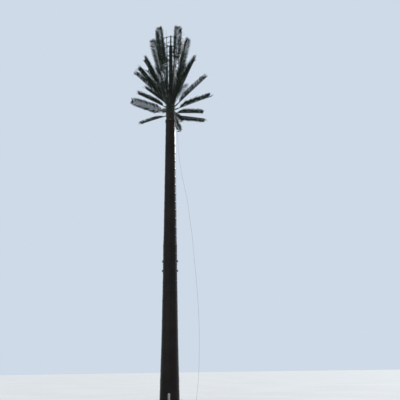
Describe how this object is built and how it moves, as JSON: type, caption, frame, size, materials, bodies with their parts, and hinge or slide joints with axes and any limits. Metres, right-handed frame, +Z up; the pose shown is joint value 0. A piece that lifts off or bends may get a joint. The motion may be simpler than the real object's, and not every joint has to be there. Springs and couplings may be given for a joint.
{
  "type": "palm-clad monopole cell tower",
  "caption": "Tapered steel monopole clad as a palm trunk, with an open ring antenna cage and tiers of stiff feather fronds at its top.",
  "frame": {"origin": "middle of the base flange's underside, on the ground line", "axes": "+Z up along the pole, +X to the right and -Y towards the viewer in the picture"},
  "size_m": [5.6721, 6.7106, 24.1987],
  "materials": {
    "galvanised_steel": "dull spangled zinc",
    "painted_steel": "matt dark brown paint",
    "crown_steel": "matt dark green paint",
    "bark": "rough moulded bark, dark umber",
    "radome": "satin grey green",
    "frond": "satin dark green",
    "rope": "laid fibre"
  },
  "bodies": {
    "root": {"base_flange": "galvanised_steel", "lower_section": "painted_steel", "upper_section": "painted_steel", "bark_lower": "bark", "bark_joint": "bark", "bark_upper": "bark", "port_rim": "galvanised_steel", "port_cover": "galvanised_steel", "lower_lugs": "painted_steel", "upper_lugs": "painted_steel", "crown_band": "painted_steel", "collar_1": "crown_steel", "collar_2": "crown_steel", "collar_3": "crown_steel", "collar_4": "crown_steel", "collar_5": "crown_steel", "collar_6": "crown_steel", "cap_plate": "painted_steel", "centre_pipe": "crown_steel", "top_pipe": "crown_steel", "lightning_rod": "galvanised_steel", "ring_1": "crown_steel", "ring_2": "crown_steel", "ring_3": "crown_steel", "ring_4": "crown_steel", "ring_5": "crown_steel", "ring_6": "crown_steel", "cage_posts": "crown_steel", "panel_antennas": "radome", "panel_mounts": "galvanised_steel", "drum_antenna": "radome", "drum_mount": "galvanised_steel", "fronds_1": "frond", "fronds_2": "frond", "fronds_3": "frond", "fronds_4": "frond", "fronds_5": "frond", "fronds_6": "frond", "fronds_7": "frond", "fronds_8": "frond", "fronds_9": "frond", "rope_eye": "galvanised_steel", "rope": "rope", "rope_coil": "rope"}
  },
  "joints": []
}
